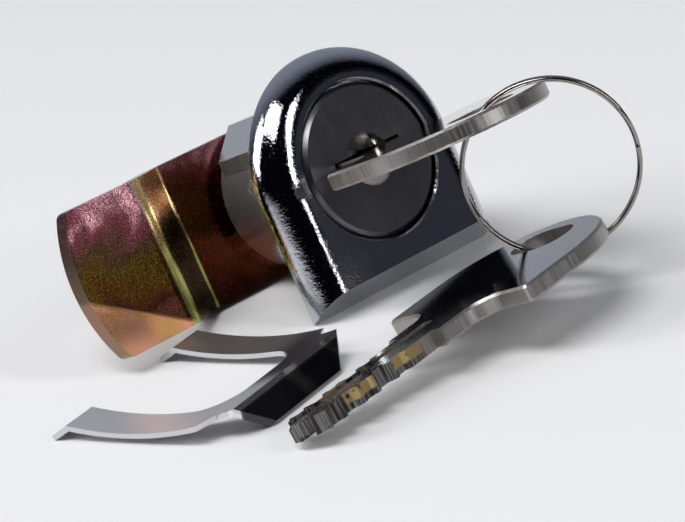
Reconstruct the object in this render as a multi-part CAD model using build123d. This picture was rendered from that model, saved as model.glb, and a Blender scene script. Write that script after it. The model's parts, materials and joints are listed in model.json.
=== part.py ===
from build123d import *
import os
from math import atan2, cos, degrees, hypot, pi, radians, sin, tan

# A small wafer cam lock with its two flat keys, their split ring and its panel clip.
# Sizes are in millimetres.
#
# The lock is modelled in its own frame: its axis runs along Y from the flat front (y = 0) to
# the tail, X is to the right as seen from the front, and Z points up to the dome of the head.
# It lies on its back, on the foot of the head and the rear edge of the cam, so the whole lock
# is then leaned back about X. The finished frame has +Z up, and its origin is on the lock's
# axis, where the head seats against the panel.

# Head of the housing
head_width = 24.0
head_depth = 3.45
head_foot = 12.5
front_foot = 10.57
side_round = 3.15
rim_bevel = 0.2

# Barrel of the housing
barrel_radius = 8.15
barrel_end = 14.8
lug_flat = 8.45
lug_half_width = 7.2
lug_foot = 3.4
lug_end = 14.0
clip_slot_front = 7.3
clip_slot_width = 1.2
neck_half_width = 6.6

# Plug and its bores
bore_radius = 5.75
bore_gap = 0.05
face_radius = 7.85
face_depth = 2.2
face_gap = 0.25
face_bevel = 0.45
dimple_radius = 2.7
dimple_depth = 0.7
tail_radius = 4.8
tail_half_flat = 3.9
tail_end = 21.0
tail_bevel = 0.4

# Rotation stop between the barrel and the cam
turn_range = 90.0
stop_boss_half_angle = 12.0
stop_play_angle = 1.5
stop_boss_inner = 6.35
stop_boss_outer = 7.9
stop_boss_height = 1.15
stop_washer_gap = 0.05
stop_washer_thickness = 1.3
stop_washer_radius = 8.1

# Cam
cam_thickness = 2.0
cam_half_width = 7.75
cam_bend_near = 13.0
cam_bend_far = 18.9
cam_step = 4.85
cam_corner_reach = 27.6
cam_reach = 29.5
cam_inner_bend = 1.2
cam_corner_round = 0.9
cam_edge_bevel = 0.25

# Washer and ring that hold the cam on the tail
cam_washer_radius = 6.9
cam_washer_thickness = 0.8
circlip_radius = 6.4
circlip_inner = 4.3
circlip_thickness = 1.0
circlip_mouth = 5.0
circlip_side_gap = 0.05

# Wafers, their slots and springs
wafer_count = 5
wafer_first = 4.1
wafer_pitch = 2.3
wafer_thickness = 1.0
wafer_half_height = 2.9
wafer_travel = 0.6
wafer_tip_gap = 0.05
wafer_side_gap = 0.05
wafer_window_play = 0.5
wafer_window_face_gap = 0.24
ear_half_width = 0.5
ear_height = 1.1
spring_pocket_back = 3.35
groove_gap = 0.1
spring_wire = 0.24
spring_diameter = 0.9
spring_turns = 3
spring_turn_sides = 8
spring_wire_sides = 6

# Keys
key_thickness = 1.72
bow_half_width = 10.3
bow_straight = 7.25
bow_corner = 0.5
bow_edge = 0.25
key_hole_place = 13.0
key_hole_width = 7.4
key_hole_depth = 5.0
neck_length = 5.9
key_neck_half_width = 4.0
neck_fillet = 2.6
blade_length = 16.7
blade_half_width = 2.6
blade_tip_width = 1.6
blade_tip_length = 2.0
blade_groove_width = 1.3
blade_groove_depth = 0.4
blade_groove_place = 0.9
keyway_side_gap = 0.25
keyway_face_gap = 0.18
face_slot_half_width = 4.35
cut_depths = (0.4, 0.8, 0.3, 0.85, 0.55)
cut_floor = 0.9
cut_slope = 50.0

# Split ring, and where its middle line crosses each key: along and across from the hole's centre
ring_radius = 8.39
ring_wire = 0.5
ring_wire_sides = 8
ring_strand_gap = 0.04
ring_step_angle = 26.0
ring_in_lock_key = (-0.76, -0.64)
ring_in_spare_key = (-0.85, 0.13)
ring_side = (0.73, -0.64, 0.24)

# Retaining clip
clip_sheet = 0.5
clip_width = 21.9
clip_gap = 13.4
clip_chord = 18.3
clip_root = 2.6
clip_root_round = 4.0
clip_fold_height = 3.0
clip_bend_height = 1.6
clip_sag = 1.1
clip_lip_reach = 1.9
clip_base_width = 18.0
clip_shoulder = 3.0
clip_tab_foot_width = 10.0
clip_tab_reach = 1.8
clip_fold_round = 0.7
clip_lip_round = 0.6
clip_prong_round = 0.5

# Places on the table, in the finished frame
spare_key_place = (-11.2, -24.8)
spare_key_height = 3.9
spare_key_along = (0.994, 0.058, 0.093)
spare_key_up = (-0.106, 0.287, 0.952)
clip_place = (-25.4, -15.6)
clip_turn = 15.0

# Worked-out places along the lock's axis
head_radius = head_width / 2
plug_radius = bore_radius - bore_gap
plug_shoulder = barrel_end + stop_washer_gap
cam_front = plug_shoulder + stop_washer_thickness
cam_back = cam_front + cam_thickness
washer_back = cam_back + cam_washer_thickness
circlip_back = washer_back + circlip_thickness
keyway_end = blade_length + 0.3

# The lean that puts the head's foot and the cam's rear edge on one level
lean = degrees(atan2(head_foot - cam_half_width, cam_back - head_depth))
floor_level = -head_foot * cos(radians(lean))
lock_place = Location((0, 0, 0), (-lean, 0, 0)) * Location((0, -head_depth, 0))

# Each key's own frame: the middle of its bow's base, with X along the key and Z out of its face
lock_key_seat = Plane(origin=(0, -neck_length, 0), x_dir=(0, -1, 0), z_dir=(0, 0, 1))
lock_key_frame = lock_place * lock_key_seat.location
spare_key_centre = (*spare_key_place, floor_level + spare_key_height)
spare_key_seat = Plane(origin=spare_key_centre, x_dir=spare_key_along, z_dir=spare_key_up)
spare_key_frame = spare_key_seat.location


def across(sketch, start, length):
    """A solid with its section seen from the front, from y = start over a length."""
    return extrude(Plane.XZ.offset(-start) * sketch, amount=-length)


def cylinder(radius, start, length):
    return across(Circle(radius), start, length)


def double_d(radius, half_flat):
    return Circle(radius) & Rectangle(2 * radius, 2 * half_flat)


def sector(inner, outer, low_angle, high_angle):
    """A piece of an annulus, with angles from +X towards +Z."""
    reach = 2 * outer
    middle = (low_angle + high_angle) / 2
    corners = [
        (0, 0),
        (reach * cos(radians(low_angle)), reach * sin(radians(low_angle))),
        (reach * cos(radians(middle)), reach * sin(radians(middle))),
        (reach * cos(radians(high_angle)), reach * sin(radians(high_angle))),
    ]
    wedge = make_face(Polyline(*corners, close=True))
    return (Circle(outer) - Circle(inner)) & wedge


def wafer_places():
    return [wafer_first + index * wafer_pitch for index in range(wafer_count)]


def head():
    """D-shaped head: rounded sides and dome in front, and a foot that slopes back."""
    outline = Circle(head_radius) + Pos(0, -head_foot / 2) * Rectangle(head_width, head_foot)
    outline &= Pos(0, head_width - head_foot) * Rectangle(2 * head_width, 2 * head_width)
    block = across(outline, 0, head_depth)
    front_edges = block.faces().sort_by(Axis.Y)[0].edges()
    round_edges = [edge for edge in front_edges if edge.center().Z > -head_foot + 0.01]
    block = fillet(round_edges, side_round)
    slope = Plane.YZ * make_face(
        Polyline((-1, -head_foot - 1), (head_depth, -head_foot - 1), (head_depth, -head_foot),
                 (0, -front_foot), (-1, -front_foot + 1), close=True)
    )
    return block - extrude(slope, amount=head_width, both=True)


def lug_sketch():
    """Flat-topped lug with sloping sides that keeps the barrel from turning in the panel."""
    top = lug_flat
    shoulder = lug_half_width * (2 ** 0.5 - 1) + (lug_flat - lug_half_width)
    return make_face(
        Polyline((-lug_half_width, lug_foot), (-lug_half_width, top - lug_half_width + shoulder),
                 (-shoulder, top), (shoulder, top),
                 (lug_half_width, top - lug_half_width + shoulder), (lug_half_width, lug_foot),
                 close=True)
    )


def housing():
    body = head() + cylinder(barrel_radius, head_depth, barrel_end - head_depth)
    body += across(lug_sketch(), head_depth, lug_end - head_depth)
    slot_wide = 2 * (barrel_radius + lug_half_width)
    side = Pos(neck_half_width + slot_wide / 2, 0) * Rectangle(slot_wide, 4 * barrel_radius)
    body -= across(side + mirror(side, Plane.YZ), clip_slot_front, clip_slot_width)
    boss_angle = stop_boss_half_angle
    boss = sector(stop_boss_inner, stop_boss_outer, 90 - boss_angle, 90 + boss_angle)
    body += across(boss, barrel_end - 0.5, stop_boss_height + 0.5)
    body -= cylinder(face_radius + face_gap, -1, face_depth + 0.1 + 1)
    body -= cylinder(bore_radius, 0, barrel_end + 1)
    groove_reach = plug_radius + wafer_travel + groove_gap
    groove = Pos(groove_reach / 2, 0) * Rectangle(groove_reach, 2 * (wafer_half_height + groove_gap))
    groove = groove & Circle(groove_reach)
    last_wafer = wafer_places()[-1] + wafer_thickness
    for angle in (0, -turn_range):
        body -= across(Rot(Z=angle) * groove, face_depth, last_wafer + groove_gap - face_depth)
    rim = [edge for edge in body.edges().filter_by(GeomType.CIRCLE)
           if abs(edge.radius - face_radius - face_gap) < 0.001 and abs(edge.center().Y) < 0.001]
    return chamfer(rim, rim_bevel)


def keyway(end, half_width):
    return across(Rectangle(2 * half_width, key_thickness + 2 * keyway_face_gap), -1, end + 1)


def plug_face():
    disc = cylinder(face_radius, 0, face_depth)
    front_rim = disc.edges().filter_by(GeomType.CIRCLE).sort_by(Axis.Y)[0]
    disc = chamfer(front_rim, face_bevel)
    ball_radius = (dimple_radius ** 2 + dimple_depth ** 2) / (2 * dimple_depth)
    disc -= Pos(0, dimple_depth - ball_radius, 0) * Sphere(ball_radius)
    return disc - keyway(face_depth + 1, face_slot_half_width)


def plug():
    """Turning core: slots for the wafers, pockets for their springs, and a flatted tail."""
    core = cylinder(plug_radius, face_depth, plug_shoulder - face_depth)
    tail = across(double_d(tail_radius, tail_half_flat), plug_shoulder, tail_end - plug_shoulder)
    core += chamfer(tail.faces().sort_by(Axis.Y)[-1].edges(), tail_bevel)
    core -= keyway(keyway_end, blade_half_width + keyway_side_gap)
    slot = Rectangle(4 * plug_radius, 2 * (wafer_half_height + wafer_side_gap))
    pocket_front = ear_half_width + wafer_travel + 2 * wafer_side_gap
    pocket_length = spring_pocket_back + pocket_front
    pocket = Pos(pocket_front - pocket_length / 2, wafer_half_height + ear_height / 2) * Rectangle(
        pocket_length, ear_height + 2 * wafer_side_gap)
    for place in wafer_places():
        wide = wafer_thickness + 2 * wafer_side_gap
        core -= across(slot + pocket, place - wafer_side_gap, wide)
    groove = Circle(tail_radius + 1) - Circle(circlip_inner)
    return core - across(groove, washer_back, circlip_thickness + circlip_side_gap)


def wafer(place):
    """Plate with round tips, a window for the blade and an ear that rests on its spring."""
    plate = Rectangle(4 * plug_radius, 2 * wafer_half_height) & Circle(plug_radius - wafer_tip_gap)
    ear_top = wafer_half_height + ear_height
    plate += Pos(0, ear_top / 2) * Rectangle(2 * ear_half_width, ear_top)
    window_length = 2 * (blade_half_width + wafer_window_play)
    window = Rectangle(window_length, key_thickness + 2 * wafer_window_face_gap)
    return across(plate - window, place, wafer_thickness)


def wafer_spring(place):
    """Fine coil with eight-sided turns that pushes one wafer out of the plug."""
    start = -spring_pocket_back + spring_wire / 2
    length = spring_pocket_back - ear_half_width - spring_wire
    coil_radius = (spring_diameter - spring_wire) / 2
    middle_y = place + wafer_thickness / 2
    middle_z = wafer_half_height + ear_height / 2
    steps = spring_turns * spring_turn_sides
    points = []
    for step in range(steps + 1):
        angle = 2 * pi * step / spring_turn_sides
        y = middle_y + coil_radius * cos(angle)
        z = middle_z + coil_radius * sin(angle)
        points.append((start + length * step / steps, y, z))
    path = Polyline(*points)
    section = RegularPolygon(spring_wire / 2, spring_wire_sides)
    section = Plane(origin=path @ 0, z_dir=path % 0) * section
    return sweep(section, path=path, transition=Transition.RIGHT)


def stop_washer():
    """Washer keyed to the tail, with a window that the housing's boss stops in."""
    disc = Circle(stop_washer_radius) - double_d(tail_radius, tail_half_flat)
    low = 90 - stop_boss_half_angle - stop_play_angle
    high = 90 + stop_boss_half_angle + stop_play_angle + turn_range
    disc -= sector(stop_boss_inner - 0.2, stop_washer_radius + 1, low, high)
    return across(disc, plug_shoulder, stop_washer_thickness)


def cam():
    """Cranked plate: the free end stands a step nearer to the head than the hub."""
    slope = atan2(cam_step, cam_bend_far - cam_bend_near)
    shift = cam_thickness * tan(slope / 2)
    near, far = -cam_bend_near, -cam_bend_far
    outer_front = cam_front - cam_step
    ends = (2 * cam_half_width, -cam_reach - 2)
    side = make_face(Polyline(
        (ends[0], cam_front), (near, cam_front), (far, outer_front), (ends[1], outer_front),
        (ends[1], outer_front + cam_thickness), (far - shift, outer_front + cam_thickness),
        (near - shift, cam_back), (ends[0], cam_back), close=True))
    inner = [vertex for vertex in side.vertices()
             if hypot(vertex.X - near, vertex.Y - cam_front) < 0.01
             or hypot(vertex.X - far + shift, vertex.Y - outer_front - cam_thickness) < 0.01]
    outer = [vertex for vertex in side.vertices()
             if hypot(vertex.X - far, vertex.Y - outer_front) < 0.01
             or hypot(vertex.X - near + shift, vertex.Y - cam_back) < 0.01]
    side = fillet(inner, cam_inner_bend)
    outer = [vertex for vertex in side.vertices()
             if any(hypot(vertex.X - old.X, vertex.Y - old.Y) < 0.01 for old in outer)]
    side = fillet(outer, cam_inner_bend + cam_thickness)
    plate = extrude(side, amount=cam_half_width, both=True)
    top = Line((0, cam_half_width), (-cam_corner_reach, cam_half_width))
    end = ThreePointArc((-cam_corner_reach, cam_half_width), (-cam_reach, 0),
                        (-cam_corner_reach, -cam_half_width))
    foot = Line((-cam_corner_reach, -cam_half_width), (0, -cam_half_width))
    hub = ThreePointArc((0, -cam_half_width), (cam_half_width, 0), (0, cam_half_width))
    outline = make_face([top, end, foot, hub])
    corners = [vertex for vertex in outline.vertices() if vertex.X < -cam_corner_reach + 0.01]
    outline = fillet(corners, cam_corner_round)
    outline -= double_d(tail_radius, tail_half_flat)
    return plate & across(outline, 0, tail_end)


def cam_washer():
    return across(Circle(cam_washer_radius) - double_d(tail_radius, tail_half_flat),
                  cam_back, cam_washer_thickness)


def circlip():
    """Open ring that snaps into the groove of the tail."""
    ring = Circle(circlip_radius) - Circle(circlip_inner)
    ring -= Pos(0, circlip_radius) * Rectangle(circlip_mouth, 2 * circlip_radius)
    return across(ring, washer_back, circlip_thickness)


def blade_cuts(depths, side):
    """Notches along one edge of the blade, one for each wafer, as a sketch."""
    notches = []
    for place, depth in zip(wafer_places(), depths):
        middle = -neck_length - place - wafer_thickness / 2
        half_floor = cut_floor / 2
        half_mouth = half_floor + (depth + 1) / tan(radians(cut_slope))
        floor = blade_half_width - depth
        mouth = blade_half_width + 1
        notches.append(make_face(Polyline(
            (middle - half_mouth, side * mouth), (middle - half_floor, side * floor),
            (middle + half_floor, side * floor), (middle + half_mouth, side * mouth), close=True)))
    return notches


def flat_key():
    """Flat key lying in XY: the bow's base is at x = 0, the blade points to -X."""
    bow = Pos(bow_straight / 2, 0) * Rectangle(bow_straight, 2 * bow_half_width)
    right_half = Pos(bow_straight + bow_half_width, 0) * Rectangle(2 * bow_half_width, 2 * bow_half_width)
    bow += (Pos(bow_straight, 0) * Circle(bow_half_width)) & right_half
    corners = [vertex for vertex in bow.vertices() if abs(vertex.X) < 0.01]
    bow = fillet(corners, bow_corner)
    neck = Pos(-neck_length / 2 + 0.5, 0) * Rectangle(neck_length + 1, 2 * key_neck_half_width)
    outline = bow + neck
    roots = [vertex for vertex in outline.vertices()
             if abs(vertex.X) < 0.01 and abs(abs(vertex.Y) - key_neck_half_width) < 0.01]
    outline = fillet(roots, neck_fillet)
    tip = -neck_length - blade_length
    blade = make_face(Polyline(
        (-neck_length + 0.5, blade_half_width), (tip + blade_tip_length, blade_half_width),
        (tip, blade_tip_width / 2), (tip, -blade_tip_width / 2),
        (tip + blade_tip_length, -blade_half_width), (-neck_length + 0.5, -blade_half_width), close=True))
    for notch in blade_cuts(cut_depths, 1) + blade_cuts(cut_depths[::-1], -1):
        blade -= notch
    outline += blade
    outline -= Pos(key_hole_place, 0) * SlotOverall(key_hole_width, key_hole_depth, rotation=90)
    plate = extrude(outline, amount=key_thickness / 2, both=True)
    groove_length = blade_length + neck_length
    for side in (1, -1):
        groove = Pos(-neck_length / 2 - groove_length / 2, side * blade_groove_place,
                     side * (key_thickness / 2)) * Box(
            groove_length, blade_groove_width, 2 * blade_groove_depth)
        plate -= groove
    rims = [edge for edge in plate.edges()
            if edge.center().X > 0.5 and abs(abs(edge.center().Z) - key_thickness / 2) < 0.01
            and hypot(edge.center().X - key_hole_place, edge.center().Y) > key_hole_width * 0.7]
    return chamfer(rims, bow_edge)


def ring_crossing(key_frame, offset):
    return (key_frame * Location((key_hole_place + offset[0], offset[1], 0))).position


def split_ring():
    """Two turns of spring wire side by side, with a short step from one turn to the other."""
    first = ring_crossing(lock_key_frame, ring_in_lock_key)
    second = ring_crossing(spare_key_frame, ring_in_spare_key)
    chord = second - first
    side = Vector(*ring_side)
    side = (side - chord * (side.dot(chord) / chord.dot(chord))).normalized()
    centre = (first + second) * 0.5 + side * (ring_radius ** 2 - chord.dot(chord) / 4) ** 0.5
    wire = RegularPolygon(ring_wire / 2, ring_wire_sides, major_radius=False, rotation=180 / ring_wire_sides)
    half_pitch = (ring_wire + ring_strand_gap) / 2
    turn = 360 - ring_step_angle
    ring = revolve(Plane.XZ * Pos(ring_radius, -half_pitch) * wire, Axis.Z, turn)
    ring += revolve(Plane.XZ * Pos(ring_radius, half_pitch) * wire, Axis.Z, turn)
    end = radians(turn)
    outward = (cos(end), sin(end), 0)
    onward = (-sin(end), cos(end), 0)
    step_start = (ring_radius * cos(end), ring_radius * sin(end), -half_pitch)
    step = Spline(step_start, (ring_radius, 0, half_pitch), tangents=[onward, (0, 1, 0)])
    ring += sweep(Plane(origin=step_start, x_dir=outward, z_dir=onward) * wire, path=step)
    seat = Plane(origin=centre, x_dir=side, z_dir=side.cross(chord))
    return seat.location * Rot(Z=ring_step_angle / 2) * ring


def retaining_clip():
    """Bowed fork of sheet steel: its fold is at y = 0, the prongs point to +Y."""
    half_sheet = clip_sheet / 2
    fold = (0, clip_fold_height - half_sheet)
    bend = (clip_chord, clip_bend_height - half_sheet)
    middle = (clip_chord / 2, (fold[1] + bend[1]) / 2 - clip_sag)
    tip = (clip_chord + clip_lip_reach, half_sheet)
    foot = (-clip_tab_reach, half_sheet)
    bow = ThreePointArc(fold, middle, bend)
    sides = Curve() + [Line(foot, fold), bow, Line(bend, tip)]
    strip = trace(sides, clip_sheet)
    sheet = extrude(Plane.YZ * strip, amount=clip_width, both=True)
    half = clip_width / 2
    reach = clip_chord + 2 * clip_lip_reach
    base_half = clip_base_width / 2
    foot_half = clip_tab_foot_width / 2
    outline = make_face(Polyline(
        (-foot_half, -clip_tab_reach - clip_sheet), (-base_half, 0), (-base_half, clip_shoulder - 1),
        (-half, clip_shoulder), (-half, reach), (half, reach), (half, clip_shoulder),
        (base_half, clip_shoulder - 1), (base_half, 0), (foot_half, -clip_tab_reach - clip_sheet),
        close=True))
    gap = Pos(0, clip_root + reach / 2) * Rectangle(clip_gap, reach)
    roots = [vertex for vertex in gap.vertices() if vertex.Y < clip_root + 0.01]
    outline -= fillet(roots, clip_root_round)
    tips = [vertex for vertex in outline.vertices() if vertex.Y > reach - 0.01]
    outline = fillet(tips, clip_prong_round)
    fork = sheet & extrude(outline, amount=2 * clip_fold_height, both=True)
    seat = Location((*clip_place, floor_level), (0, 0, clip_turn))
    return seat * fork


def build():
    nodes = {
        "housing": lock_place * housing(),
        "plug_face": lock_place * plug_face(),
        "plug": lock_place * plug(),
        "stop_washer": lock_place * stop_washer(),
        "cam": lock_place * cam(),
        "cam_washer": lock_place * cam_washer(),
        "circlip": lock_place * circlip(),
        "key_in_lock": lock_key_frame * flat_key(),
        "spare_key": spare_key_frame * flat_key(),
        "split_ring": split_ring(),
        "retaining_clip": retaining_clip(),
    }
    for number, place in enumerate(wafer_places(), start=1):
        nodes[f"wafer_{number}"] = lock_place * wafer(place)
        nodes[f"wafer_spring_{number}"] = lock_place * wafer_spring(place)
    return nodes


os.makedirs("parts", exist_ok=True)
for name, shape in build().items():
    export_step(shape, f"parts/{name}.step")
print("lean", round(lean, 3), "floor", round(floor_level, 3))
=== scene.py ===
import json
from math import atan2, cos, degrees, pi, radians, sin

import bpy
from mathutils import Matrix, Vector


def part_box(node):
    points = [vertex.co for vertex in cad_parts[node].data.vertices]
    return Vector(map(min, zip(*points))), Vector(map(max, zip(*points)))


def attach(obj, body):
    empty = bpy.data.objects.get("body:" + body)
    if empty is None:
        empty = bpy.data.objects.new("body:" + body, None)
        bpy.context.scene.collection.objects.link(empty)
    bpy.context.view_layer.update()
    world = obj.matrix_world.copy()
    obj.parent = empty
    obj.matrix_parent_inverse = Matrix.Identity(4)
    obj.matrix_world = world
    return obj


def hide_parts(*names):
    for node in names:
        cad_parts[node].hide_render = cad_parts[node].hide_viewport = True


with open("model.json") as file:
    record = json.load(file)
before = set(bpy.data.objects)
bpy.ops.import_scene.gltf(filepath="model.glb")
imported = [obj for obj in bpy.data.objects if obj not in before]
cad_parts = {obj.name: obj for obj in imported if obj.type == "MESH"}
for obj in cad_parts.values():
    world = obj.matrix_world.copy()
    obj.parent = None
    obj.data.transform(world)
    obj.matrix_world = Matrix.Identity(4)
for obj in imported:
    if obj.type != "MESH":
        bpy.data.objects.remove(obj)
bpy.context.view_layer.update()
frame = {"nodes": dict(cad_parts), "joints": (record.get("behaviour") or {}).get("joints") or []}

# %% [markdown]
# A cam lock is a small piece of jewellery work: bright chrome, dark satin steel, yellow
# zinc plate and thin nickel. Apart from the zinc, none of these has much colour of its own.
# What the eye reads is what they mirror, so the room around the lock matters as much as
# the metal. The solid pieces are already loaded, at their real size in metres, and the
# table lies at their lowest point.

MM = 0.001
nodes = frame["nodes"]
table_level = min(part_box(name)[0].z for name in nodes)
print("table level in millimetres:", round(table_level / MM, 3))

scene = bpy.context.scene
scene.view_settings.view_transform = "Standard"

# %% [markdown]
# The lock leans back: its foot and the rear edge of its cam both stand on the table.
# Patterns such as brushing follow the lock and not the table, so the lean is worked out
# once, from the joint that the plug turns on. Each key has its own directions too, from
# the middle of its bow's base, and so has the clip, from the middle of its fold.

# %% The lock's own directions
joints = {joint["name"]: joint for joint in frame["joints"]}
turn_axis = Vector(joints["plug_turn"]["axis"])
out_of_front = turn_axis if turn_axis.y < 0 else -turn_axis
lean = atan2(out_of_front.z, -out_of_front.y)
lock_turn = (-lean, 0.0, 0.0)

spare_key_place = Vector((-11.2, -24.8, -7.99)) * MM
spare_key_along = Vector((0.994, 0.058, 0.093))
spare_key_up = Vector(joints["spare_key_swing"]["axis"]).normalized()
spare_key_side = spare_key_up.cross(spare_key_along).normalized()
spare_key_square = spare_key_side.cross(spare_key_up)
spare_key_axes = Matrix((spare_key_square, spare_key_side, spare_key_up)).transposed()
spare_key_turn = spare_key_axes.to_euler()

lock_key_place = Vector((0, -8.897, 2.875)) * MM
lock_key_up = Vector((0, sin(lean), cos(lean)))
lock_key_axes = Matrix((out_of_front, (1, 0, 0), lock_key_up)).transposed()
lock_key_turn = lock_key_axes.to_euler()

clip_place = Vector((-25.4, -15.6, 0)) * MM
clip_turn = (0.0, 0.0, radians(15.0))
print("the lock leans back by", round(degrees(lean), 2), "degrees")

# %% [markdown]
# The camera stands low on the left and is rolled a little. A camera can be placed by eye,
# but this one was fitted to the corners of the real lock in its picture, so that both show
# the same outlines. Its long lens keeps the two ends of the lock at nearly one scale.

# %% Camera
camera_place = Vector((-0.19154, -0.24081, 0.09681))
camera_aim = Vector((-0.00559, -0.00231, -0.00777))
camera_roll = radians(-13.3)
camera_lens = 170.0
camera_sensor = 36.0
nearest_seen = 0.01

camera_data = bpy.data.cameras.new("camera")
camera_data.lens = camera_lens
camera_data.sensor_width = camera_sensor
camera_data.clip_start = nearest_seen
camera = bpy.data.objects.new("camera", camera_data)
scene.collection.objects.link(camera)
look = (camera_aim - camera_place).to_track_quat("-Z", "Y").to_matrix().to_4x4()
rolled = Matrix.Rotation(camera_roll, 4, "Z")
camera.matrix_world = Matrix.Translation(camera_place) @ look @ rolled
scene.camera = camera
print("camera lens in millimetres:", camera_lens)

# %% [markdown]
# Room, table and metals are all made of nodes. They could be wired by hand in an editor,
# but a script makes the same ones every time and can repeat them. A helper adds a node and
# fills its inputs, with plain values or with the outputs of other nodes.

# %% Adding a node
def is_socket(value):
    return isinstance(value, bpy.types.NodeSocket)


def fill(tree, node, values):
    """Links each input named in values to a socket, or sets it to a plain value."""
    for key, value in values.items():
        if is_socket(value):
            tree.links.new(value, node.inputs[key])
        else:
            node.inputs[key].default_value = value


def add(tree, kind, values=None, **settings):
    """Adds a node, sets its options and fills its inputs."""
    node = tree.nodes.new(kind)
    for key, value in settings.items():
        setattr(node, key, value)
    fill(tree, node, values or {})
    return node


# %% [markdown]
# A mirror shows the room, so the room is lit the way a product photographer lights chrome:
# a dark room, a pale table, a grey wall behind on the right, and three bright panels that
# draw long white streaks along the rounded edges. Point lamps would leave only dots on
# chrome. Area lamps are panels of a real size, and reflections show their shape.

# %% Lamps
def add_panel(name, azimuth, elevation, distance, width, height, power):
    """A lamp panel that faces the lock. Azimuth 0 is behind the lock and 90 is on its right."""
    data = bpy.data.lights.new(name, "AREA")
    data.shape = "RECTANGLE"
    data.size = width
    data.size_y = height
    data.energy = power
    panel = bpy.data.objects.new(name, data)
    scene.collection.objects.link(panel)
    turn, rise = radians(azimuth), radians(elevation)
    away = Vector((sin(turn) * cos(rise), cos(turn) * cos(rise), sin(rise)))
    panel.location = away * distance
    panel.rotation_euler = (-away).to_track_quat("-Z", "Y").to_euler()


add_panel("window_left_behind", azimuth=-50, elevation=30, distance=1.0,
          width=0.40, height=0.68, power=5.0)
add_panel("skylight_left", azimuth=-100, elevation=67, distance=1.2,
          width=0.95, height=0.42, power=10.0)
add_panel("strip_front_right", azimuth=166, elevation=31, distance=1.0,
          width=0.17, height=0.62, power=2.4)

# %% [markdown]
# The rest of the room could be a picture wrapped round the scene. Two soft walls are enough
# here, and easy to move: each is a direction and a ramp of colours, from the room's dark to
# the wall's grey as a mirror turns towards it. The wall behind gives the upper faces of the
# keys their cool grey, and the dim one in front a faint sheen to the front of the head.

# %% Walls of the room
def colour_ramp(tree, value, stops):
    """Colours that follow each other along a value. Each stop is a position and a colour."""
    node = add(tree, "ShaderNodeValToRGB", {"Fac": value})
    elements = node.color_ramp.elements
    while len(elements) < len(stops):
        elements.new(0.5)
    for element, (position, colour) in zip(elements, stops):
        element.position = position
        element.color = (*colour, 1)
    return node.outputs["Color"]


def along(tree, vector, direction):
    """How far a vector reaches along a direction."""
    values = {0: vector, 1: direction}
    return add(tree, "ShaderNodeVectorMath", values, operation="DOT_PRODUCT").outputs["Value"]


wall_behind = ((0.52, 0.70, 0.48), [(0.40, (0.002, 0.002, 0.004)), (0.92, (0.29, 0.315, 0.375))])
wall_in_front = ((0.60, -0.79, 0.12), [(0.965, (0.0, 0.0, 0.0)), (0.995, (0.040, 0.041, 0.052))])


def build_world():
    """A dark room with a grey wall behind the lock on its right, and a dim one in front of it."""
    world = bpy.data.worlds.new("room")
    scene.world = world
    world.use_nodes = True
    tree = world.node_tree
    tree.nodes.clear()
    place = add(tree, "ShaderNodeTexCoord").outputs["Generated"]
    walls = [colour_ramp(tree, along(tree, place, Vector(direction).normalized()), stops)
             for direction, stops in (wall_behind, wall_in_front)]
    both = add(tree, "ShaderNodeVectorMath", {0: walls[0], 1: walls[1]}, operation="ADD")
    light = add(tree, "ShaderNodeBackground", {"Color": both.outputs["Vector"]})
    add(tree, "ShaderNodeOutputWorld", {"Surface": light.outputs["Background"]})


build_world()
print("room:", scene.world.name)

# %% [markdown]
# The table is one pale sheet. Its own colour makes the background, and the chrome picks it
# up along the foot and the left side. A light trick that only the camera sees could give
# the same background, but would leave the metal standing on a table that it doesn't
# mirror. Some way out to the left the sheet fades softly to a dark grey of painted shade,
# which keeps that side of the chrome darker.

# %% Table
table_half = 2.0
table_clearance = 0.02 * MM
table_roughness = 0.7
table_pale = (0.84, 0.84, 0.85)
# The dark grey far out to the left is painted shade on the table.
table_painted_shade = (0.18, 0.18, 0.19)
fade_direction = (-0.79, 0.62, 0.0)
fade_start, fade_full = 42 * MM, 130 * MM


def ramp(tree, value, start, full):
    """A smooth step from 0 at the start to 1 where it is full, rising or falling."""
    node = add(tree, "ShaderNodeMapRange", {"Value": value, "From Min": start, "From Max": full},
               interpolation_type="SMOOTHSTEP")
    return node.outputs[0]


def blend(tree, share, first, second):
    """A colour that runs from the first to the second as the share runs from 0 to 1."""
    first, second = (value if is_socket(value) else (*value, 1) for value in (first, second))
    return add(tree, "ShaderNodeMix", {0: share, 6: first, 7: second}, data_type="RGBA").outputs[2]


def build_table():
    mesh = bpy.data.meshes.new("table")
    corners = [(-table_half, -table_half, 0), (table_half, -table_half, 0),
               (table_half, table_half, 0), (-table_half, table_half, 0)]
    mesh.from_pydata(corners, [], [(0, 1, 2, 3)])
    table = bpy.data.objects.new("table", mesh)
    scene.collection.objects.link(table)
    table.location.z = table_level - table_clearance
    material = bpy.data.materials.new("table_white")
    material.use_nodes = True
    tree = material.node_tree
    where = add(tree, "ShaderNodeTexCoord").outputs["Object"]
    fade = ramp(tree, along(tree, where, fade_direction), fade_start, fade_full)
    fill(tree, tree.nodes["Principled BSDF"], {
        "Base Color": blend(tree, fade, table_pale, table_painted_shade), "Roughness": table_roughness})
    mesh.materials.append(material)


build_table()
print("table, half its width in metres:", table_half)

# %% [markdown]
# Several metals share an effect: a fine orange peel from casting and plating, or straight
# streaks from brushing and from the press. Each could be wired again in every material. A
# node group holds it once, and its named inputs let every piece use it at its own scale.

# %% A new group
def new_group(name, inputs, outputs):
    """A shader node group with its sockets: inputs are (name, type, default)."""
    group = bpy.data.node_groups.new(name, "ShaderNodeTree")
    for title, kind, default in inputs:
        socket = group.interface.new_socket(title, in_out="INPUT", socket_type=kind)
        if default is not None:
            socket.default_value = default
    for title in outputs:
        group.interface.new_socket(title, in_out="OUTPUT", socket_type="NodeSocketFloat")
    start = group.nodes.new("NodeGroupInput")
    end = group.nodes.new("NodeGroupOutput")
    return group, start.outputs, end


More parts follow.
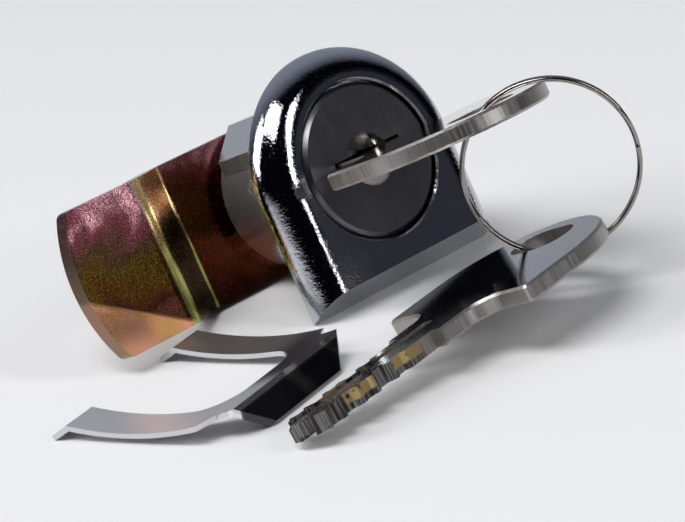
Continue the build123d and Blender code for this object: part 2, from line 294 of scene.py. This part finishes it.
def noise(tree, vector, scale, detail=2.0, distortion=0.0):
    values = {"Vector": vector, "Scale": scale, "Detail": detail, "Distortion": distortion}
    return add(tree, "ShaderNodeTexNoise", values).outputs["Fac"]


# %% [markdown]
# Casting and plating leave a skin that is never quite flat. To model it would take millions
# of faces, so noise bends the light instead: slow waves, fine grains, a scatter of pits,
# and a cloudiness for the colour.

# %% Orange peel and pits
pit_start, pit_full = 0.60, 0.72
cloud_scale = 260.0


def build_skin_group():
    group, given, end = new_group(
        "plated_skin",
        [("Vector", "NodeSocketVector", None), ("Waves per metre", "NodeSocketFloat", 900.0),
         ("Grains per metre", "NodeSocketFloat", 7000.0), ("Grain share", "NodeSocketFloat", 0.5)],
        ["Height", "Pits", "Cloud"])
    wave = noise(group, given["Vector"], given["Waves per metre"])
    grain = noise(group, given["Vector"], given["Grains per metre"])
    mixed = add(group, "ShaderNodeMix", {0: given["Grain share"], 2: wave, 3: grain})
    fill(group, end, {
        "Height": mixed.outputs[0], "Pits": ramp(group, grain, pit_start, pit_full),
        "Cloud": noise(group, given["Vector"], cloud_scale, detail=3.0)})
    return group


skin_group = build_skin_group()
print(skin_group.name, "has", len(skin_group.nodes), "nodes")


def add_skin(tree, vector, wave, grain, share=0.5):
    """The plated skin, with how many waves and grains there are to a metre."""
    values = {"Vector": vector, "Waves per metre": wave, "Grains per metre": grain, "Grain share": share}
    return add(tree, "ShaderNodeGroup", values, node_tree=skin_group).outputs


# %% [markdown]
# Brushed steel and a sheared edge both show fine parallel lines. They could be painted, but
# noise that is squeezed across the lines and drawn out along them gives as many as are
# wanted at any scale.

# %% Straight streaks
def maths(tree, operation, first, second=0.0, third=None):
    values = {0: first, 1: second}
    if third is not None:
        values[2] = third
    return add(tree, "ShaderNodeMath", values, operation=operation).outputs[0]


def split_up(tree, vector):
    """The three coordinates of a vector."""
    return add(tree, "ShaderNodeSeparateXYZ", {0: vector}).outputs


def build_streak_group():
    group, given, end = new_group(
        "straight_streaks",
        [("Vector", "NodeSocketVector", None), ("Across", "NodeSocketFloat", 9000.0),
         ("Along", "NodeSocketFloat", 250.0)],
        ["Streaks"])
    place = split_up(group, given["Vector"])
    drawn_out = add(group, "ShaderNodeCombineXYZ", {
        0: maths(group, "MULTIPLY", place[0], given["Across"]),
        1: maths(group, "MULTIPLY", place[1], given["Across"]),
        2: maths(group, "MULTIPLY", place[2], given["Along"])})
    fill(group, end, {"Streaks": noise(group, drawn_out.outputs[0], 1.0, detail=3.0)})
    return group


streak_group = build_streak_group()
print(streak_group.name, "has", len(streak_group.nodes), "nodes")


def add_streaks(tree, vector, across, along_them):
    """Streaks along Z, with how many there are to a metre across them and along them."""
    values = {"Vector": vector, "Across": across, "Along": along_them}
    return add(tree, "ShaderNodeGroup", values, node_tree=streak_group).outputs[0]


# %% [markdown]
# A pattern has to sit still on its piece. It could follow an unwrapped skin, but these
# pieces have none, so every material reads Object coordinates. A Mapping node first turns
# them into the piece's own directions, with Z along the brushing or through the thickness
# of a key.

# %% Materials: a common start
def start_material(name, turn=(0.0, 0.0, 0.0), place=(0.0, 0.0, 0.0)):
    """A material with its shader and the piece's own coordinates."""
    material = bpy.data.materials.new(name)
    material.use_nodes = True
    tree = material.node_tree
    shader = tree.nodes["Principled BSDF"]
    shader.inputs["Metallic"].default_value = 1.0
    where = add(tree, "ShaderNodeTexCoord").outputs["Object"]
    values = {"Vector": where, "Location": place, "Rotation": turn}
    mapping = add(tree, "ShaderNodeMapping", values, vector_type="TEXTURE")
    return material, tree, shader, mapping.outputs[0]


def bump(tree, shader, height, strength, distance, under=None):
    """Adds relief to the shader, on top of the relief named by under."""
    values = {"Height": height, "Strength": strength, "Distance": distance}
    if under:
        values["Normal"] = under
    relief = add(tree, "ShaderNodeBump", values).outputs[0]
    fill(tree, shader, {"Normal": relief})
    return relief


def facing(tree, direction):
    """How squarely the surface faces a direction, from -1 to 1."""
    return along(tree, add(tree, "ShaderNodeTexCoord").outputs["Normal"], direction)


def dress(material, *node_names):
    for node_name in node_names:
        mesh = nodes[node_name].data
        mesh.materials.clear()
        mesh.materials.append(material)
    print(material.name, "on", ", ".join(node_names))


# %% [markdown]
# The head is chrome on a die casting. A perfect mirror looks false on it: a slight orange
# peel breaks the edge of each highlight into ragged grains. The barrel is one piece with
# the head, yet less polished, and its colour is painted paler so that its reflections come
# out brighter. A mask along the axis changes the finish where the barrel starts.

# %% Housing
head_chrome = (0.52, 0.53, 0.57)
# The barrel's paler colour is painted in to brighten its reflections.
barrel_chrome_painted_bright = (0.94, 0.94, 0.95)
barrel_start, barrel_full = 0.0, 0.5 * MM
barrel_roughness_more = 0.08
barrel_metallic = 0.92


def between(tree, share, first, second):
    """A value that runs from the first to the second as the share runs from 0 to 1."""
    if is_socket(first) or is_socket(second):
        span = maths(tree, "SUBTRACT", second, first)
    else:
        span = second - first
    return maths(tree, "MULTIPLY_ADD", share, span, first)


def chrome_housing():
    material, tree, shader, vector = start_material("housing_chrome", lock_turn)
    skin = add_skin(tree, vector, wave=800.0, grain=4400.0)
    on_barrel = ramp(tree, split_up(tree, vector)[1], barrel_start, barrel_full)
    rough = between(tree, skin["Pits"], 0.03, 0.19)
    fill(tree, shader, {
        "Base Color": blend(tree, on_barrel, head_chrome, barrel_chrome_painted_bright),
        "Roughness": maths(tree, "MULTIPLY_ADD", on_barrel, barrel_roughness_more, rough),
        "Metallic": between(tree, on_barrel, 1.0, barrel_metallic)})
    bump(tree, shader, skin["Height"], strength=0.32, distance=0.12 * MM)
    return material


dress(chrome_housing(), "housing")

# %% [markdown]
# The face of the plug is dark steel, brushed up and down, and the dimple round the slot is
# polished, with a paler colour painted in as its highlight. Brushing could be a stretched
# reflection. On so small a face, streaks in the roughness and in a faint relief show it as
# well, and are toned down in the dimple by the same mask.

# %% Plug face
satin_dark = (0.12, 0.12, 0.135)
satin_pale = (0.18, 0.175, 0.18)
# The dimple's paler steel is a painted highlight.
dimple_painted_highlight = (0.38, 0.36, 0.34)
dimple_end, flat_start = 2.4 * MM, 2.8 * MM
dimple_polish = 0.3


def satin_face():
    """Dark satin steel, brushed up and down, with a polished dimple round the key slot whose paler
    colour is a painted highlight.
    """
    material, tree, shader, vector = start_material("plug_face_satin", lock_turn)
    streaks = add_streaks(tree, vector, across=4500.0, along_them=260.0)
    skin = add_skin(tree, vector, wave=300.0, grain=9000.0)
    place = split_up(tree, vector)
    off_axis = add(tree, "ShaderNodeCombineXYZ", {0: place[0], 1: place[2]}).outputs[0]
    radius = add(tree, "ShaderNodeVectorMath", {0: off_axis}, operation="LENGTH").outputs["Value"]
    flat = ramp(tree, radius, dimple_end, flat_start)
    satin = blend(tree, skin["Cloud"], satin_dark, satin_pale)
    rough = between(tree, streaks, 0.24, 0.36)
    fill(tree, shader, {
        "Base Color": blend(tree, flat, dimple_painted_highlight, satin),
        "Roughness": maths(tree, "MULTIPLY", rough, between(tree, flat, dimple_polish, 1.0))})
    grain = bump(tree, shader, skin["Height"], strength=0.10, distance=0.05 * MM)
    bump(tree, shader, streaks, strength=0.05, distance=0.02 * MM, under=grain)
    return material


dress(satin_face(), "plug_face")

# %% [markdown]
# The cam is stamped steel in yellow chromate. The film is a few hundred nanometres thick
# and its thickness drifts over the piece, so the colour runs from brown through olive to
# magenta. It could be worked out from the film's thickness, but a list of colours along
# the height, bent by a slow noise, is far easier to match to a real piece.

# %% Cam: the film
# The film's colours from the foot of the cam to its top, each with its level
film_colours = [
    (0.02, (0.14, 0.05, 0.03)), (0.18, (0.06, 0.02, 0.01)), (0.30, (0.09, 0.03, 0.012)),
    (0.42, (0.12, 0.055, 0.012)), (0.55, (0.13, 0.08, 0.014)), (0.70, (0.10, 0.055, 0.028)),
    (0.87, (0.26, 0.07, 0.09)), (1.00, (0.98, 0.50, 0.58))]
film_height = 15.5 * MM
film_scale = 150.0
film_distortion = 0.7
film_drift = 0.9


def film_colour(tree, vector, height):
    """The film's colour: it drifts with the height on the cam, bent by a slow noise."""
    slow = noise(tree, vector, film_scale, detail=3.0, distortion=film_distortion)
    level = maths(tree, "MULTIPLY_ADD", height, 1 / film_height, 0.5)
    shift = maths(tree, "MULTIPLY_ADD", slow, film_drift, -film_drift / 2)
    return colour_ramp(tree, maths(tree, "ADD", level, shift), film_colours)


# %% [markdown]
# The bends carry a painted highlight, gold higher up and green lower down, and the slope
# between them is olive with a painted gold highlight towards its top; the hub is a redder
# brown. The stamped edge rolls over a little, and the relief turns that band to mirror the
# table instead of the dark room; its salmon colour is a painted reflection of the table.
# Each could be its own material on its own faces. Masks from the place on the cam and from
# the way that its surface faces let one material fade softly from one to the next.

# %% Cam: edge, hub, bends and slope
# The rolled edge lies below a sloping line: its slope along the cam and its height at the axis
roll_line_slope, roll_line_height = -0.62, -19.1 * MM
roll_start, roll_full = -0.1 * MM, -0.6 * MM
roll_tilt = 0.24
# The salmon of the rolled edge is a painted reflection of the table.
reflection_salmon_pink, reflection_salmon_brown = (0.66, 0.31, 0.20), (0.56, 0.30, 0.11)
salmon_scale = 260.0
salmon_start, salmon_full = 0.4, 0.6

# Where the hub passes into the free end along the cam, and the colours of the other regions,
# each with the share of it that is laid over the film
hub_end, free_end_full = -14.0 * MM, -19.5 * MM
hub_brown, hub_share = (0.20, 0.04, 0.015), 0.6
cut_brown, cut_share = (0.10, 0.06, 0.04), 0.7
# The bends' gold and green and the slope's gold are painted highlights, stronger higher up.
bend_highlight_green, bend_highlight_gold = (0.55, 0.55, 0.15), (1.0, 0.72, 0.34)
bend_highlight_green_height, bend_highlight_gold_height = -1.0 * MM, 3.0 * MM
slope_olive, slope_highlight_gold, slope_share = (0.09, 0.085, 0.012), (1.0, 0.66, 0.26), 0.85
slope_olive_height, slope_highlight_gold_height = 2.0 * MM, 4.5 * MM

# How squarely each region faces the front: 1 is straight ahead, and a cut edge is near 0
cut_facing, flat_facing = 0.30, 0.55
bend_facing = (0.74, 0.84, 0.97, 0.995)
slope_facing = (0.60, 0.70, 0.78, 0.84)


def band(tree, value, start, full, fading, end):
    """1 from full to fading, with a smooth step from the start and another to the end."""
    return maths(tree, "MULTIPLY", ramp(tree, value, start, full), ramp(tree, value, end, fading))


def zinc_regions(tree, vector, reach, height, square):
    """The film with its rolled edge, hub, cut edges, bends and slope, and masks for relief."""
    line = maths(tree, "MULTIPLY_ADD", reach, roll_line_slope, roll_line_height)
    below = maths(tree, "MINIMUM", maths(tree, "SUBTRACT", height, line), 0.0)
    on_roll = ramp(tree, below, roll_start, roll_full)
    patches = ramp(tree, noise(tree, vector, salmon_scale), salmon_start, salmon_full)
    # Painted reflection of the table on the rolled edge.
    salmon = blend(tree, patches, reflection_salmon_pink, reflection_salmon_brown)
    film = blend(tree, on_roll, film_colour(tree, vector, height), salmon)
    free_end = ramp(tree, reach, hub_end, free_end_full)
    colour = blend(tree, free_end, blend(tree, hub_share, film, hub_brown), film)
    cut = blend(tree, cut_share, colour, cut_brown)
    colour = blend(tree, ramp(tree, square, cut_facing, flat_facing), cut, colour)
    # Painted highlights on the bends and the slope, stronger higher up.
    on_bend = band(tree, square, *bend_facing)
    lit = ramp(tree, height, bend_highlight_green_height, bend_highlight_gold_height)
    gold = blend(tree, lit, bend_highlight_green, bend_highlight_gold)
    colour = blend(tree, on_bend, colour, gold)
    on_slope = maths(tree, "MULTIPLY", band(tree, square, *slope_facing), slope_share)
    lit = ramp(tree, height, slope_olive_height, slope_highlight_gold_height)
    olive = blend(tree, lit, slope_olive, slope_highlight_gold)
    colour = blend(tree, on_slope, colour, olive)
    return colour, free_end, below, maths(tree, "MAXIMUM", on_roll, on_bend)


# %% [markdown]
# The plating is rough and grainy on the free end and smoother on the hub, the bends and
# the rolled edge. The roll could be modelled as a round. It is a gentle slope in the
# relief here, which turns the mirror towards the table and leaves the plate's outline alone.

# %% Cam: relief and shine
upper_start, upper_full = 0.0, 5.0 * MM
upper_roughness_more = 0.05
smooth_relief = 0.2


def yellow_zinc():
    material, tree, shader, vector = start_material("cam_yellow_zinc", lock_turn)
    skin = add_skin(tree, vector, wave=1100.0, grain=6500.0, share=0.7)
    place = split_up(tree, vector)
    reach, height = place[0], place[2]
    square = maths(tree, "ABSOLUTE", facing(tree, out_of_front))
    colour, free_end, below, smooth = zinc_regions(tree, vector, reach, height, square)
    upper = maths(tree, "MULTIPLY", free_end, ramp(tree, height, upper_start, upper_full))
    rough = between(tree, skin["Pits"], 0.16, 0.46)
    fill(tree, shader, {
        "Base Color": colour,
        "Roughness": maths(tree, "MULTIPLY_ADD", upper, upper_roughness_more, rough)})
    tilt = maths(tree, "MULTIPLY", below, roll_tilt)
    rolled_edge = bump(tree, shader, tilt, strength=1.0, distance=1.0)
    coarse = maths(tree, "MULTIPLY", free_end, maths(tree, "SUBTRACT", 1.0, smooth))
    relief = maths(tree, "MULTIPLY", skin["Height"], between(tree, coarse, smooth_relief, 1.0))
    bump(tree, shader, relief, strength=0.50, distance=0.12 * MM, under=rolled_edge)
    return material


dress(yellow_zinc(), "cam")

# %% [markdown]
# The keys are punched from plated brass. Their flat faces are mirrors and their sheared edges
# carry fine lines straight across the thickness. The cuts of the blade are darker, and two
# stretches of them show bare brass. Faces and edges could be two materials, but one that
# asks which way the surface faces needs no list of faces and suits both keys.

# %% Keys
nickel = (0.66, 0.65, 0.63)
edge_dark, edge_pale = (0.20, 0.19, 0.18), (0.58, 0.55, 0.52)
cut_dark, cut_pale = (0.055, 0.05, 0.05), (0.30, 0.29, 0.28)
bare_brass = (0.52, 0.38, 0.18)
blade_start, blade_full = -7.0 * MM, -8.5 * MM
# Each bare stretch of the blade: its middle along the key, and half its length
first_stretch, second_stretch = (-9.4 * MM, 2.2 * MM), (-15.8 * MM, 1.7 * MM)
bare_low, bare_full = -0.35 * MM, -0.15 * MM
worn_scale = 900.0
worn_start, worn_full = 0.34, 0.42
cut_line_start, cut_line_full = 0.42, 0.66
key_edge_facing, key_face_facing = 0.75, 0.9
blade_roughness_more = 0.10


def cut_edges(tree, vector, streaks, along_key, height):
    """The colour of the blade's cuts: dark nickel with two worn stretches of brass."""
    first, second = (maths(tree, "COMPARE", along_key, middle, half)
                     for middle, half in (first_stretch, second_stretch))
    upper = ramp(tree, height, bare_low, bare_full)
    bare = maths(tree, "MULTIPLY", maths(tree, "MAXIMUM", first, second), upper)
    worn = ramp(tree, noise(tree, vector, worn_scale), worn_start, worn_full)
    lines = ramp(tree, streaks, cut_line_start, cut_line_full)
    plated = blend(tree, lines, cut_dark, cut_pale)
    return blend(tree, maths(tree, "MULTIPLY", bare, worn), plated, bare_brass)


def nickel_key(name, turn, place, up):
    material, tree, shader, vector = start_material(name, turn, place)
    streaks = add_streaks(tree, vector, across=4200.0, along_them=150.0)
    skin = add_skin(tree, vector, wave=420.0, grain=5200.0)
    square = maths(tree, "ABSOLUTE", facing(tree, up))
    face = ramp(tree, square, key_edge_facing, key_face_facing)
    coordinates = split_up(tree, vector)
    on_blade = ramp(tree, coordinates[0], blade_start, blade_full)
    cuts = cut_edges(tree, vector, streaks, coordinates[0], coordinates[2])
    edges = blend(tree, on_blade, blend(tree, streaks, edge_dark, edge_pale), cuts)
    edge_rough = between(tree, streaks, 0.22, 0.47)
    face_rough = between(tree, skin["Pits"], 0.06, 0.21)
    face_rough = maths(tree, "MULTIPLY_ADD", on_blade, blade_roughness_more, face_rough)
    fill(tree, shader, {
        "Base Color": blend(tree, face, edges, nickel),
        "Roughness": between(tree, face, edge_rough, face_rough)})
    fine = bump(tree, shader, skin["Height"], strength=0.10, distance=0.10 * MM)
    relief = maths(tree, "MULTIPLY", streaks, maths(tree, "SUBTRACT", 1.0, face))
    bump(tree, shader, relief, strength=0.30, distance=0.05 * MM, under=fine)
    return material


dress(nickel_key("lock_key_nickel", lock_key_turn, lock_key_place, lock_key_up), "key_in_lock")
dress(nickel_key("spare_key_nickel", spare_key_turn, spare_key_place, spare_key_up), "spare_key")

# %% [markdown]
# The clip is bent from bright spring steel. Its far prong is dark near the fold and paler
# further out, and its near prong is lighter and softer. The fold carries a painted highlight
# as a pale line, and the tab is painted dark as the dark room that it mirrors. Each of these
# is a mask measured from the middle of the fold, so that one material covers the sheet and
# no seam shows.

# %% Retaining clip
far_prong_dark, far_prong_pale = (0.04, 0.041, 0.05), (0.19, 0.185, 0.185)
near_prong = (0.36, 0.37, 0.41)
# The tab's near black is a painted dark reflection, and the fold's pale line is a painted highlight.
clip_edge, clip_tab_painted_dark, fold_painted_highlight = (0.62, 0.62, 0.64), (0.07, 0.07, 0.075), (0.85, 0.85, 0.88)
outward_start, outward_full = 3.0 * MM, 7.5 * MM
near_start, near_full = 1.0 * MM, -4.0 * MM
tab_start, tab_full = -0.25 * MM, -0.55 * MM
fold_half_width = 0.4 * MM
edge_facing, sheet_facing = 0.55, 0.75
flat_sheet_facing, fold_facing = 0.92, 0.8
fleck_scale = 3600.0
fleck_start, fleck_full = 0.78, 0.82
sheet_roughness = 0.36
far_satin, near_satin = 0.3, 0.8


def clip_steel():
    """Bright spring steel: the far prong is dark near the fold and the near prong lighter and softer,
    the fold has a painted highlight and the tab is painted dark.
    """
    material, tree, shader, vector = start_material("clip_steel", clip_turn, clip_place)
    skin = add_skin(tree, vector, wave=500.0, grain=2600.0)
    upward = facing(tree, (0, 0, 1))
    flat = ramp(tree, upward, edge_facing, sheet_facing)
    flecks = ramp(tree, noise(tree, vector, fleck_scale, detail=1.0), fleck_start, fleck_full)
    coordinates = split_up(tree, vector)
    outward = ramp(tree, coordinates[1], outward_start, outward_full)
    near = ramp(tree, coordinates[0], near_start, near_full)
    far_side = blend(tree, outward, far_prong_dark, far_prong_pale)
    sheet = blend(tree, near, far_side, near_prong)
    # The tab is painted dark as its dark reflection.
    on_tab = ramp(tree, coordinates[1], tab_start, tab_full)
    colour = blend(tree, flat, blend(tree, on_tab, clip_edge, clip_tab_painted_dark), sheet)
    # A painted highlight along the fold.
    at_fold = maths(tree, "COMPARE", coordinates[1], 0.0, fold_half_width)
    fold = maths(tree, "MULTIPLY", at_fold, ramp(tree, upward, flat_sheet_facing, fold_facing))
    satin = maths(tree, "MULTIPLY", flat, between(tree, near, far_satin, near_satin))
    fill(tree, shader, {
        "Base Color": blend(tree, fold, colour, fold_painted_highlight),
        "Roughness": between(tree, flat, between(tree, flecks, 0.03, 0.53), sheet_roughness),
        "Metallic": maths(tree, "SUBTRACT", 1.0, satin)})
    bump(tree, shader, skin["Height"], strength=0.06, distance=0.08 * MM)
    return material


dress(clip_steel(), "retaining_clip")

# %% [markdown]
# The plug, the wafers, the washers, the snap ring and the wires are small or mostly hidden.
# Each could have a recipe of its own. One function with a colour and a roughness serves
# them all, and the shared skin keeps them from looking like plastic.

# %% Plain metals
cloud_roughness_more = 0.12


def plain_metal(name, colour, roughness, turn=lock_turn):
    material, tree, shader, vector = start_material(name, turn)
    skin = add_skin(tree, vector, wave=800.0, grain=5000.0)
    rough = maths(tree, "MULTIPLY_ADD", skin["Cloud"], cloud_roughness_more, roughness)
    fill(tree, shader, {"Base Color": (*colour, 1), "Roughness": rough})
    bump(tree, shader, skin["Height"], strength=0.12, distance=0.08 * MM)
    return material


wafers = [name for name in nodes if name.startswith("wafer_") and "spring" not in name]
dress(plain_metal("plug_zinc", (0.42, 0.41, 0.40), 0.25), "plug")
dress(plain_metal("wafer_brass", (0.72, 0.55, 0.26), 0.2), *wafers)
dress(plain_metal("zinc_washer", (0.60, 0.60, 0.61), 0.15), "stop_washer", "cam_washer")
dress(plain_metal("circlip_steel", (0.16, 0.155, 0.15), 0.3), "circlip")
ring_steel = plain_metal("ring_steel", (0.32, 0.29, 0.265), 0.08, turn=(0.0, 0.0, 0.0))
spring_bronze = plain_metal("spring_bronze", (0.62, 0.42, 0.24), 0.2)

# %% [markdown]
# Wire wants to be smooth. Each wire could be a curve typed point by point. One recipe of
# geometry nodes makes both kinds here, the split ring and the wafers' springs: a line of
# points is rolled up into turns, and a round section follows it.

# %% Wire recipe
section_corners = 12
recipe_inputs = (
    ("Radius", "NodeSocketFloat", 8.39 * MM), ("Wire", "NodeSocketFloat", 0.5 * MM),
    ("Turns", "NodeSocketFloat", 2.0), ("Length", "NodeSocketFloat", 1.0 * MM),
    ("Step share", "NodeSocketFloat", 1.0), ("Points", "NodeSocketInt", 96),
    ("Copies", "NodeSocketInt", 1), ("Pitch", "NodeSocketFloat", 2.3 * MM))


def build_wire_recipe():
    """Turns of wire round Z. The rise from turn to turn is spread over a share of the wire."""
    tree = bpy.data.node_groups.new("wire_turns", "GeometryNodeTree")
    tree.is_modifier = True
    for title, kind, default in recipe_inputs:
        socket = tree.interface.new_socket(title, in_out="INPUT", socket_type=kind)
        socket.default_value = default
    tree.interface.new_socket("Geometry", in_out="OUTPUT", socket_type="NodeSocketGeometry")
    given = tree.nodes.new("NodeGroupInput").outputs
    line = add(tree, "GeometryNodeCurvePrimitiveLine").outputs[0]
    points = add(tree, "GeometryNodeResampleCurve", {"Curve": line, "Count": given["Points"]})
    share = add(tree, "GeometryNodeSplineParameter").outputs["Factor"]
    angle = maths(tree, "MULTIPLY", share, maths(tree, "MULTIPLY", given["Turns"], 2 * pi))
    from_middle = maths(tree, "DIVIDE", maths(tree, "SUBTRACT", share, 0.5), given["Step share"])
    rise = maths(tree, "MAXIMUM", maths(tree, "MINIMUM", from_middle, 0.5), -0.5)
    place = add(tree, "ShaderNodeCombineXYZ", {
        0: maths(tree, "MULTIPLY", given["Radius"], maths(tree, "COSINE", angle)),
        1: maths(tree, "MULTIPLY", given["Radius"], maths(tree, "SINE", angle)),
        2: maths(tree, "MULTIPLY", rise, given["Length"])})
    turns = add(tree, "GeometryNodeSetPosition", {
        "Geometry": points.outputs[0], "Position": place.outputs[0]})
    section = add(tree, "GeometryNodeCurvePrimitiveCircle", {
        "Resolution": section_corners, "Radius": maths(tree, "MULTIPLY", given["Wire"], 0.5)})
    wire = add(tree, "GeometryNodeCurveToMesh", {
        "Curve": turns.outputs[0], "Profile Curve": section.outputs[0], "Fill Caps": True})
    smooth = add(tree, "GeometryNodeSetShadeSmooth", {"Geometry": wire.outputs[0]})
    step = add(tree, "ShaderNodeCombineXYZ", {1: given["Pitch"]})
    row = add(tree, "GeometryNodeMeshLine", {"Count": given["Copies"], "Offset": step.outputs[0]})
    copies = add(tree, "GeometryNodeInstanceOnPoints", {
        "Points": row.outputs[0], "Instance": smooth.outputs[0]})
    real = add(tree, "GeometryNodeRealizeInstances", {"Geometry": copies.outputs[0]})
    finish = add(tree, "GeometryNodeSetMaterial", {"Geometry": real.outputs[0]})
    add(tree, "NodeGroupOutput", {"Geometry": finish.outputs[0]})
    return tree, finish


def make_wire(name, material, axes, place, **values):
    """Runs the wire recipe and keeps its result as a plain mesh, turned and moved to its place."""
    tree, finish = build_wire_recipe()
    finish.inputs["Material"].default_value = material
    sockets = {item.name: item.identifier for item in tree.interface.items_tree
               if item.in_out == "INPUT"}
    maker = bpy.data.objects.new(name + "_maker", bpy.data.meshes.new(name + "_maker"))
    scene.collection.objects.link(maker)
    modifier = maker.modifiers.new("wire", "NODES")
    modifier.node_group = tree
    for title, value in values.items():
        modifier[sockets[title.replace("_", " ").capitalize()]] = value
    evaluated = maker.evaluated_get(bpy.context.evaluated_depsgraph_get())
    mesh = bpy.data.meshes.new_from_object(evaluated)
    mesh.transform(Matrix.Translation(place) @ axes.to_4x4())
    mesh.name = name
    bpy.data.objects.remove(maker)
    piece = bpy.data.objects.new(name, mesh)
    scene.collection.objects.link(piece)
    return piece


# %% [markdown]
# The split ring is nearly two turns of spring wire that lie against each other, with a
# short step from one to the other. It hangs in the holes of both keys, at a slant to each.
# It could be turned by angles, but its centre, its normal and the direction in which it
# stands out from the keys say more plainly how it hangs.

# %% Split ring
ring_centre = Vector((3.464, -25.189, 0.987)) * MM
ring_normal = Vector((0.6753, 0.7294, -0.109)).normalized()
ring_outward = Vector((0.730, -0.639, 0.243))
ring_side = ring_normal.cross(ring_outward).normalized()
ring_axes = Matrix((ring_side.cross(ring_normal), ring_side, ring_normal)).transposed()
ring_radius = 8.39 * MM
ring_wire = 0.5 * MM
ring_strands_apart = 0.54 * MM
ring_step_angle = 26.0
ring_turns = 2 - ring_step_angle / 360
ring_start = Matrix.Rotation(radians(ring_step_angle / 2), 3, "Z")
ring_points = 260

split_ring = make_wire(
    "split_ring_wire", ring_steel, ring_axes @ ring_start, ring_centre,
    radius=ring_radius, wire=ring_wire, turns=ring_turns, length=ring_strands_apart,
    step_share=ring_step_angle / 360 / ring_turns, points=ring_points)
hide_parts("split_ring")
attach(split_ring, "split_ring")
print("split ring:", len(split_ring.data.polygons), "faces")

# %% [markdown]
# Each wafer is pushed out by a fine coil in a pocket of the plug. The coils are alike, so
# one is rolled and copied in a row. Its length, its place and the steps of the row are
# measured from the solid springs.

# %% Wafer springs
springs = sorted(name for name in nodes if name.startswith("wafer_spring"))
first_low, first_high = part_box(springs[0])
last_low, last_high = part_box(springs[-1])
spring_start = (first_low + first_high) / 2
spring_step = ((last_low + last_high) / 2 - spring_start).length / (len(springs) - 1)
spring_length = first_high.x - first_low.x
spring_wire = 0.24 * MM
spring_radius = 0.32 * MM
spring_turns = 4.0
spring_points = 97
coil_axes = Matrix((-lock_key_up, -out_of_front, (1, 0, 0))).transposed()

wafer_coils = make_wire(
    "wafer_coils", spring_bronze, coil_axes, spring_start,
    radius=spring_radius, wire=spring_wire, turns=spring_turns,
    length=spring_length - spring_wire, points=spring_points,
    copies=len(springs), pitch=spring_step)
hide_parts(*springs)
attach(wafer_coils, "plug")
print("wafer springs:", len(wafer_coils.data.polygons), "faces")
